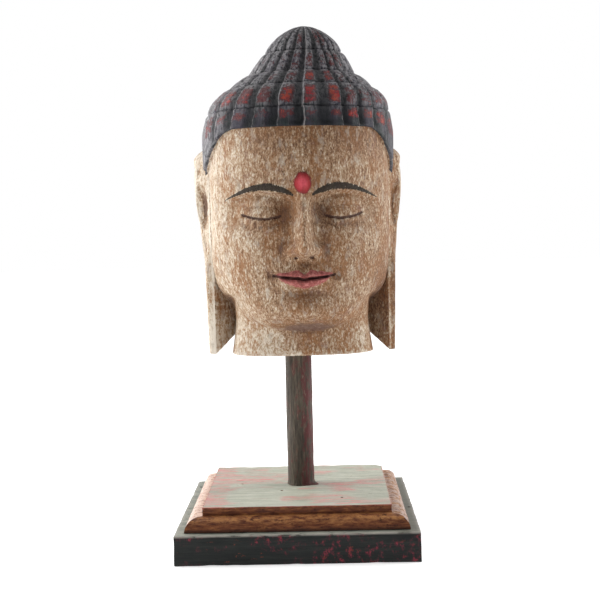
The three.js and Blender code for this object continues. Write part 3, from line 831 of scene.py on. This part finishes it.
# Painted shade, partly grime, in the hollows under the chin, beside the lobes and under the hair,
# but not on its far left
in_front = np.where(skin_y < 0, 1, 0)
skin_marks["hollow"] += 1.7 * in_front * hill(skin_x, skin_z, 1, 8.8, 8.5, 1.7)
beside_lobes = smooth(np.abs(skin_x), 19.5, 22) * (1 - smooth(-skin_y, 4, 12))
skin_marks["hollow"] += 0.9 * (1 - smooth(skin_z, 14, 34)) * beside_lobes
under_hair = smooth(skin_z, HAIRLINE - 12, HAIRLINE - 3)
skin_marks["hollow"] += 0.35 * in_front * under_hair * smooth(skin_x, -20, -8)
skin_marks["rim"] = ridge(skin_z, 0.2, 0.7) * (skin_z > 0)
marks = [all_marks(skin_x.shape, skin_marks)]
marks += [all_marks((len(s), COLUMNS + 1), hair_marks(ring, s)) for ring, s in enumerate(ring_shares)]
marks = {key: np.concatenate([part[key] for part in marks]) for key in OUTSIDE}


def into_place(places):
    """From hundredths of the head's height to the head's place on its post, leaning and turned."""
    x = places[..., 0] + LEAN * smooth(places[..., 2], HAIRLINE, RINGS[3] + 6)
    y, z = places[..., 1], places[..., 2]
    cos, sin = math.cos(HEAD_TURN), math.sin(HEAD_TURN)
    return np.stack([HEAD_X + UNIT * (x * cos - y * sin), UNIT * (x * sin + y * cos),
                     head_low.z + UNIT * z], axis=-1)


def skin_over(name, places, marks):
    """A closed piece from a grid whose points are moved to the given places, with its marks."""
    rows, columns = places.shape[:2]
    piece = start_piece(bpy.ops.mesh.primitive_grid_add, name, x_subdivisions=columns - 1,
                        y_subdivisions=rows - 1, size=1)
    flat = np.empty(len(piece.data.vertices) * 3)
    piece.data.vertices.foreach_get("co", flat)
    flat = flat.reshape(-1, 3)
    column = np.rint((flat[:, 0] + 0.5) * (columns - 1)).astype(int)
    row = np.rint((flat[:, 1] + 0.5) * (rows - 1)).astype(int)
    piece.data.vertices.foreach_set("co", places[row, column].ravel())
    for key, value in marks.items():
        layer = piece.data.attributes.new(key, "FLOAT", "POINT")
        layer.data.foreach_set("value", value[row, column].astype(np.float32))
    piece.data.update()
    settle(piece)
    return piece


head = skin_over("head_carved", into_place(surface), marks)

# Ears: long flat ears with their rims, hollows and lobes, carved on each side of the same block and
# painted like the skin. Their lobes end in a slanting cut beside the neck.
EAR_TOP, EAR_ROUND = 63.2, 60
FACE_POINTS, SIDE_POINTS = 26, 22
BEHIND_STAIN_AND_SHADE = 0.5
EAR_STAIN_AND_SHADE = {1: 0.35, -1: 1}  # by side: the right ear's hollows get less painted shade
EAR_MIDDLE, EAR_ROOT, LOBE_MIDDLE = (29, 6.5), (16, 8.6), (24, 5)
ear_rows = np.concatenate([np.linspace(0.1, 34, 54), np.linspace(34.6, EAR_ROUND, 50),
                           EAR_ROUND + (EAR_TOP - EAR_ROUND) * np.sin(np.linspace(0.1, math.pi / 2, 12))])


def ear_carving(across, z):
    """Depth cut into the ear: its bowl, the channel inside the rim, and flutes down the lobe."""
    up = (z - 36) / 27
    upper = smooth(z, 34, 40)
    bowl = np.clip(1 - ((across - 0.34) / 0.24) ** 2 - ((up - 0.36) / 0.27) ** 2, 0, 1)
    around = np.hypot((across - 0.46) / 0.38, (up - 0.48) / 0.43)
    channel = ridge(around, 1, 0.14) * smooth(across + 0.7 * up, 0.55, 0.85) * smooth(across, 0.12, 0.30)
    fork = hill(across, up, 0.42, 0.77, 0.12, 0.07)
    flutes = 0.55 * ridge(across, 0.3, 0.09) + 0.3 * ridge(across, 0.62, 0.08)
    flutes += 0.4 * ridge(across, 0.84, 0.07)
    under_rim = upper * (1 - smooth(z, 55.5, 60))
    return upper * 2.3 * bowl ** 0.7 + under_rim * (1.3 * channel + 0.9 * fork) + (1 - upper) * flutes


def ear_section(z):
    """The closed outline of the ear at one height on the +X side, cut in as deep as its carving, with its
    painted shade and its rubbed edges.
    """
    outer = profile([(0, 28.9), (28, 29.6), (39, 31.1), (52, 32.4), (EAR_ROUND, 32.5), (EAR_TOP, 31.6)], z)
    inner = profile([(0, 26.8), (28, 26.8), (36, 27.5), (EAR_TOP, 27.6)], z)
    front = profile([(0, -3), (20, -3), (34, -1.6), (50, -1), (EAR_ROUND, 0.6), (EAR_TOP, 3.4)], z)
    rear = profile([(0, 7), (22, 8), (44, 12), (58, 12.5), (EAR_TOP, 10)], z)
    flare = profile([(0, 0), (26, 0), (40, 1), (EAR_TOP, 1)], z)
    s = np.linspace(0, 1, FACE_POINTS)
    corner = 0.9 * np.clip(s - 0.88, 0, 1) / 0.12
    front_line = np.stack([inner + (outer - inner) * s, front + (0.9 + 5.6 * flare) * s + corner], axis=-1)
    side = np.linspace(0, 1, SIDE_POINTS)[1:]
    side_line = np.stack([outer - 0.8 * side ** 2 + 0.25 * np.sin(math.pi * side),
                          front_line[-1, 1] + (rear - front_line[-1, 1]) * side], axis=-1)
    line = np.concatenate([front_line, side_line])
    along = np.gradient(line, axis=0)
    outwards = np.stack([along[:, 1], -along[:, 0]], axis=-1) / np.linalg.norm(along, axis=1)[:, None]
    walked = np.append(0, np.cumsum(np.linalg.norm(np.diff(line, axis=0), axis=1)))
    across = walked / walked[-1]
    depth = ear_carving(across, z) * within(across, 0, 0.06, 0.96, 1)
    line = line - outwards * depth[:, None]
    back = np.array([(inner - 2.5, rear + 0.8), (inner - 5, rear + 1.5), (20, 9), EAR_ROOT])
    web = np.array([EAR_ROOT + (line[0] - EAR_ROOT) * t for t in np.linspace(0, 1, 9)[1:]])
    outline = np.concatenate([line, back, web])
    shrink = math.sqrt(max(0.0, 1 - (max(0.0, z - EAR_ROUND) / (EAR_TOP - EAR_ROUND + 1e-9)) ** 2))
    outline = EAR_MIDDLE + (outline - EAR_MIDDLE) * shrink
    # Painted shade in the ear's cuts, darker where they are cut deeper, and painted shade with some stain on
    # the web behind the lobe
    behind = np.full(len(back) + len(web) - 1, BEHIND_STAIN_AND_SHADE)
    stain_and_shade = np.concatenate([0.48 * depth, behind, [0.3]])
    edges = ridge(across, 0.03, 0.05) + ridge(across, 0.55, 0.05)
    rubbed = np.append(edges, np.zeros(len(back) + len(web)))
    return np.column_stack([outline, np.full(len(outline), z)]), stain_and_shade, rubbed


ear_surface, ear_stain_and_shade, ear_rubbed = (np.array(part) for part in zip(*(ear_section(z) for z in ear_rows)))
lobe_bottom = np.array([*LOBE_MIDDLE, ear_rows[0]]) + 0 * ear_surface[:1]
ear_surface = np.concatenate([lobe_bottom, ear_surface])
ear_stain_and_shade = np.concatenate([1 + 0 * ear_stain_and_shade[:1], ear_stain_and_shade])
ear_rubbed = np.concatenate([0 * ear_rubbed[:1], ear_rubbed])
ear_marks = all_marks(ear_stain_and_shade.shape, {"hollow": ear_stain_and_shade, "rim": ear_rubbed})
LOBE_TIP = (27.4, -2, 0.1)
LOBE_RISE = Vector((0.62, -0.3, 1)).normalized()
CUTTER_SIZE = 60 * UNIT

for side in (1, -1):
    stain_and_shade = {**ear_marks, "hollow": ear_marks["hollow"] * EAR_STAIN_AND_SHADE[side]}
    ear = skin_over("ear", ear_surface * UNIT * (side, 1, 1), stain_and_shade)
    cutter = start_piece(bpy.ops.mesh.primitive_cube_add, "lobe_cut", size=CUTTER_SIZE,
                         location=(0, 0, -CUTTER_SIZE / 2))
    settle(cutter)
    rise = Vector((side * LOBE_RISE.x, LOBE_RISE.y, LOBE_RISE.z))
    tip = Vector((side * LOBE_TIP[0], *LOBE_TIP[1:])) * UNIT
    tilt = Vector((0, 0, 1)).rotation_difference(rise).to_matrix().to_4x4()
    cutter.matrix_world = Matrix.Translation(tip) @ tilt
    settle(cutter)
    fuse(ear, cutter, "DIFFERENCE")
    ear.matrix_world = Matrix.Translation((HEAD_X, 0, head_low.z)) @ Matrix.Rotation(HEAD_TURN, 4, "Z")
    settle(ear)
    fuse(head, ear, "UNION")

socket = start_piece(bpy.ops.mesh.primitive_cylinder_add, "post_socket", vertices=56,
                     radius=post_radius + SOCKET_CLEARANCE, depth=2 * NECK_SOCKET_DEPTH,
                     location=(post_middle.x, post_middle.y, head_low.z))
settle(socket)
fuse(head, socket, "DIFFERENCE")
weather(head, HEAD_WEAR, HEAD_GRAIN, 2.9)
pick(head)
bpy.ops.object.shade_smooth_by_angle(angle=math.radians(38))

carving = Finish("head_painted")
fine = carving.spots((0.0009, 0.0009, 0.0017), 4, 0.7, 0.0, 0.2)
mid = carving.spots((0.0021, 0.0021, 0.0040), 5, 0.70, 3.1, 0.3)
wide = carving.spots((0.017, 0.017, 0.030), 4, 0.6, 5.7)
strokes = carving.spots((0.0016, 0.0016, 0.016), 5, 0.68, 8.2)
across_head = carving.along("X")
up_head = carving.along("Z")

# Where each change of tone starts on the head and where it is full: across it, then up it
TAN_AND_SHADE_ACROSS, LOBE_ACROSS = (-0.066, -0.012), (0.052, 0.060)
NECK_LEFT, NECK_RIGHT = (0.010, -0.020), (0.016, 0.036)
HAIR_LEFT, HAIR_RIGHT = (-0.032, -0.060), (0.052, 0.078)
NECK_UP, LOBE_UP, HAIR_UP = (0.166, 0.150), (0.205, 0.180), (0.292, 0.318)


def both_sides(left, right):
    """Full on the left side of the head and half as strong on the right."""
    return carving.maths("MAXIMUM", carving.between(across_head, *left),
                         carving.times(carving.between(across_head, *right), 0.5))


# Darker towards the right: partly browner wear, partly painted shade on the side away from the left light
to_right = carving.between(across_head, *TAN_AND_SHADE_ACROSS)
# Lighter on the lower sides of the neck, fully on the left and half on the right: painted light
on_neck = carving.times(carving.between(up_head, *NECK_UP), both_sides(NECK_LEFT, NECK_RIGHT))
right_lobe = carving.times(carving.between(across_head, *LOBE_ACROSS), carving.between(up_head, *LOBE_UP))
hollow = carving.attribute("hollow")
rim = carving.attribute("rim")

# Skin: cream over tan, worn through in fine upright flecks to ochre, brown and dark brown
wear_and_shade = carving.sum(0, (fine, 0.60), (mid, 0.50), (wide, 0.26), (strokes, 0.20))
# Painted shade in the hollows and towards the right and on the right lobe, painted light on the neck's sides,
# and paler rubbed edges
wear_and_shade = carving.sum(wear_and_shade, (hollow, 0.13), (to_right, 0.105), (on_neck, -0.085), (right_lobe, 0.06),
                   (rim, -0.09))
skin_colour = carving.steps(
    carving.between(wear_and_shade, 0.55, 1.10), (0.14, 224, 213, 197), (0.33, 207, 192, 172),
    (0.47, 184, 160, 133), (0.58, 165, 134, 105), (0.74, 139, 105, 78), (0.92, 92, 66, 50))
ochre = carving.between(carving.sum(wide, (to_right, 0.08)), 0.50, 0.66)
ochre = carving.times(ochre, carving.between(mid, 0.42, 0.56))
skin_colour = carving.coat(ochre, skin_colour, paint(158, 106, 62), 0.45)
greyed = carving.spots((0.006, 0.006, 0.012), 5, 0.7, 1.9)
skin_colour = carving.coat(carving.between(greyed, 0.54, 0.66), skin_colour, paint(182, 172, 158), 0.5)
mauve = carving.spots((0.0075, 0.0075, 0.011), 4, 0.7, 15.3)
skin_colour = carving.coat(carving.between(mauve, 0.55, 0.68), skin_colour, paint(134, 100, 92), 0.32)
rim_chips = carving.between(carving.sum(0, (rim, 0.45), (mid, 0.6), (fine, 0.4)), 0.97, 1.05)
skin_colour = carving.coat(rim_chips, skin_colour, paint(226, 216, 202), 0.8)
# Painted shade, partly grime: darker brown in the creases and hollows, under the chin and behind the lobes
recess = carving.between(carving.sum(hollow, (mid, 1.2), (fine, 0.6)), 1.50, 1.95)
grime_and_shade = carving.steps(mid, (0.36, 90, 66, 58), (0.5, 116, 90, 78), (0.64, 144, 118, 102))
skin_colour = carving.coat(recess, skin_colour, grime_and_shade, 0.8)

# Painted shapes: black brows with the cream showing through, red mark and lips. Dark lines darken
# the cuts of the lids and lips, and painted shade darkens the nostrils
chipped = carving.sum(-0.5, (fine, 0.5), (mid, 0.5))
ragged = carving.maths("MULTIPLY", chipped, 2.4)


def painted_over(under, mark, over, cover=0.93, raggedness=1.0):
    """Lays a colour inside a painted mark, with a ragged edge and chips out of it."""
    inside = carving.sum(carving.attribute(mark), (ragged, raggedness))
    return carving.coat(carving.between(inside, 0.0, 0.22), under, over, cover)


brow_black = carving.coat(carving.between(fine, 0.58, 0.70), paint(27, 26, 23), paint(120, 112, 96))
# The raised red mark: a painted highlight, lighter pink, in its middle and painted shade, dark maroon, round
# its edge
bead_shading = carving.sum(0, (carving.attribute("mark"), 0.35), (mid, 0.5))
mark_red = carving.steps(bead_shading, (0.28, 96, 26, 32), (0.52, 160, 34, 44), (0.92, 216, 84, 98))
lip_red = carving.steps(mid, (0.34, 104, 46, 46), (0.48, 158, 76, 76), (0.66, 206, 138, 132))
skin_colour = painted_over(skin_colour, "brow", brow_black)
skin_colour = painted_over(skin_colour, "mark", mark_red, 0.93, 0.5)
skin_colour = painted_over(skin_colour, "lips", lip_red, 0.9)
skin_colour = painted_over(skin_colour, "line", paint(62, 38, 34), 0.85)

# Hair: near-black with a blue or green cast, red ground bare in patches, crests rubbed grey and partly
# painted highlight, dust and a painted sheen greying its sides and crown, and painted shade in the grooves
cast = carving.spots((0.012, 0.012, 0.016), 3, 0.6, 7.4)
black = carving.steps(cast, (0.36, 33, 42, 43), (0.48, 42, 41, 47), (0.62, 55, 52, 64))
black = carving.coat(carving.between(strokes, 0.54, 0.74), black, paint(88, 84, 88), 0.8)
# Dust and painted sheen: grey on the hair's sides, full on the left and half on the right, and on its crown
high_up = carving.between(up_head, *HAIR_UP)
dust_and_sheen_zone = carving.maths("MAXIMUM", both_sides(HAIR_LEFT, HAIR_RIGHT), high_up)
dust_and_sheen = carving.times(dust_and_sheen_zone, carving.between(carving.sum(mid, (strokes, 0.6)), 0.66, 0.92))
black = carving.coat(dust_and_sheen, black, paint(148, 145, 148), 0.85)
patchy = carving.spots((0.0046, 0.0046, 0.0030), 5, 0.72, 12.6)
red = carving.sum(0, (carving.attribute("red"), 0.44), (patchy, 1.3), (fine, 0.7))
hair_colour = carving.coat(carving.between(red, 1.18, 1.28), black, paint(92, 44, 46), 0.85)
bare_red = carving.steps(cast, (0.40, 152, 36, 46), (0.55, 156, 64, 48))
hair_colour = carving.coat(carving.between(red, 1.42, 1.51), hair_colour, bare_red)
# Pale crests, partly rubbed and partly painted highlight, and painted highlights along the rings' top edges
crest = carving.sum(carving.attribute("crest"), (chipped, 2.2))
hair_colour = carving.coat(carving.between(crest, 0.36, 0.98), hair_colour, paint(160, 154, 154), 0.78)
# Painted shade, near-black, in the grooves and along the foot of each ring
groove = carving.attribute("groove")
hair_colour = carving.coat(groove, hair_colour, paint(27, 31, 32), 0.72)

hair_share = carving.between(carving.sum(carving.attribute("hair"), (chipped, 0.5)), 0.42, 0.58)
head_colour = carving.coat(hair_share, skin_colour, hair_colour)
hair_gloss = carving.sum(0.34, (mid, 0.3))
skin_gloss = carving.sum(0.50, (wear_and_shade, 0.2))
glossier = carving.maths("SUBTRACT", hair_gloss, skin_gloss)
head_gloss = carving.sum(skin_gloss, (hair_share, glossier))
skin_relief = carving.sum(0.0, (fine, -0.7), (mid, -0.8), (strokes, 0.7))
wear_their(head, carving.finish(head_colour, head_gloss, skin_relief, HEAD_RELIEF), "buddha_head")

# Pale studio: a white floor, a white surround and soft lights from both sides and behind, with the
# camera where the photograph was taken from, worked out from the corners of the square base.
FLOOR_RADIUS, FLOOR_GLOW = 6, 0.55
floor = start_piece(bpy.ops.mesh.primitive_circle_add, "studio_floor", vertices=96,
                    radius=FLOOR_RADIUS, fill_type="NGON")
floor_finish = Finish("floor_white")
floor.data.materials.append(floor_finish.material)
for name, value in (("Roughness", 0.9), ("Base Color", (0.9, 0.9, 0.9, 1)),
                    ("Emission Color", (1, 1, 1, 1)), ("Emission Strength", FLOOR_GLOW)):
    floor_finish.shader.inputs[name].default_value = value

# The surround is pure white to the eye, and lights the piece most from behind and a little more from
# the left than from the right
SURROUND_FRONT, SURROUND_BACK, SURROUND_LEFT = 0.34, 1.0, 0.12
world = bpy.data.worlds.new("studio")
bpy.context.scene.world = world
world.use_nodes = True
sky = world.node_tree
seen = sky.nodes["Background"]
seen.inputs["Color"].default_value = (1, 1, 1, 1)
seen.inputs["Strength"].default_value = 1.0
lighting = sky.nodes.new("ShaderNodeBackground")
direction = sky.nodes.new("ShaderNodeTexCoord")
split = sky.nodes.new("ShaderNodeSeparateXYZ")
towards_back = sky.nodes.new("ShaderNodeMapRange")
for name, value in (("From Min", -0.7), ("From Max", 0.5), ("To Min", SURROUND_FRONT),
                    ("To Max", SURROUND_BACK)):
    towards_back.inputs[name].default_value = value
towards_left = sky.nodes.new("ShaderNodeMath")
towards_left.operation = "MULTIPLY_ADD"
towards_left.inputs[1].default_value = -SURROUND_LEFT
what_sees = sky.nodes.new("ShaderNodeLightPath")
either = sky.nodes.new("ShaderNodeMixShader")
for output, socket in (
    (direction.outputs["Generated"], split.inputs[0]),
    (split.outputs["Y"], towards_back.inputs["Value"]),
    (split.outputs["X"], towards_left.inputs[0]),
    (towards_back.outputs["Result"], towards_left.inputs[2]),
    (towards_left.outputs[0], lighting.inputs["Strength"]),
    (what_sees.outputs["Is Camera Ray"], either.inputs[0]),
    (lighting.outputs[0], either.inputs[1]),
    (seen.outputs[0], either.inputs[2]),
    (either.outputs[0], sky.nodes["World Output"].inputs["Surface"]),
):
    sky.links.new(output, socket)
bpy.context.scene.view_settings.view_transform = "Standard"


def soft_light(name, place, aim, size, power):
    bpy.ops.object.select_all(action="DESELECT")
    bpy.ops.object.light_add(type="AREA", location=place)
    lamp = bpy.context.object
    lamp.name = name
    lamp.data.size = size
    lamp.data.energy = power
    lamp.rotation_mode = "QUATERNION"
    lamp.rotation_quaternion = (Vector(aim) - Vector(place)).to_track_quat("-Z", "Y")


HEAD_MIDDLE = (0, 0, 0.24)
soft_light("light_left", (-1.25, 0.10, 0.75), HEAD_MIDDLE, 0.7, 13.5)
soft_light("light_back_left", (-0.9, 0.7, 0.7), HEAD_MIDDLE, 0.6, 8)
soft_light("light_back_right", (1.1, 0.35, 0.6), HEAD_MIDDLE, 0.6, 10)

CAMERA_PLACE = (0.0181, -0.8142, 0.2232)
CAMERA_YAW, CAMERA_PITCH, CAMERA_ROLL = math.radians(0.97), math.radians(3.70), math.radians(-1.37)
FOCAL_PIXELS, PICTURE_PIXELS, SENSOR_MM = 1123, 600, 36
bpy.ops.object.camera_add(location=CAMERA_PLACE)
camera = bpy.context.object
camera.data.sensor_width = SENSOR_MM
camera.data.lens = FOCAL_PIXELS / PICTURE_PIXELS * SENSOR_MM
ahead = Vector((-math.sin(CAMERA_YAW), math.cos(CAMERA_YAW), 0))
level_right = Vector((math.cos(CAMERA_YAW), math.sin(CAMERA_YAW), 0))
forward = ahead * math.cos(CAMERA_PITCH) - Vector((0, 0, math.sin(CAMERA_PITCH)))
up = Vector((0, 0, math.cos(CAMERA_PITCH))) + ahead * math.sin(CAMERA_PITCH)
right = level_right * math.cos(CAMERA_ROLL) + up * math.sin(CAMERA_ROLL)
up = up * math.cos(CAMERA_ROLL) - level_right * math.sin(CAMERA_ROLL)
camera.rotation_mode = "QUATERNION"
camera.rotation_quaternion = Matrix((right, up, -forward)).transposed().to_quaternion()
bpy.context.scene.camera = camera
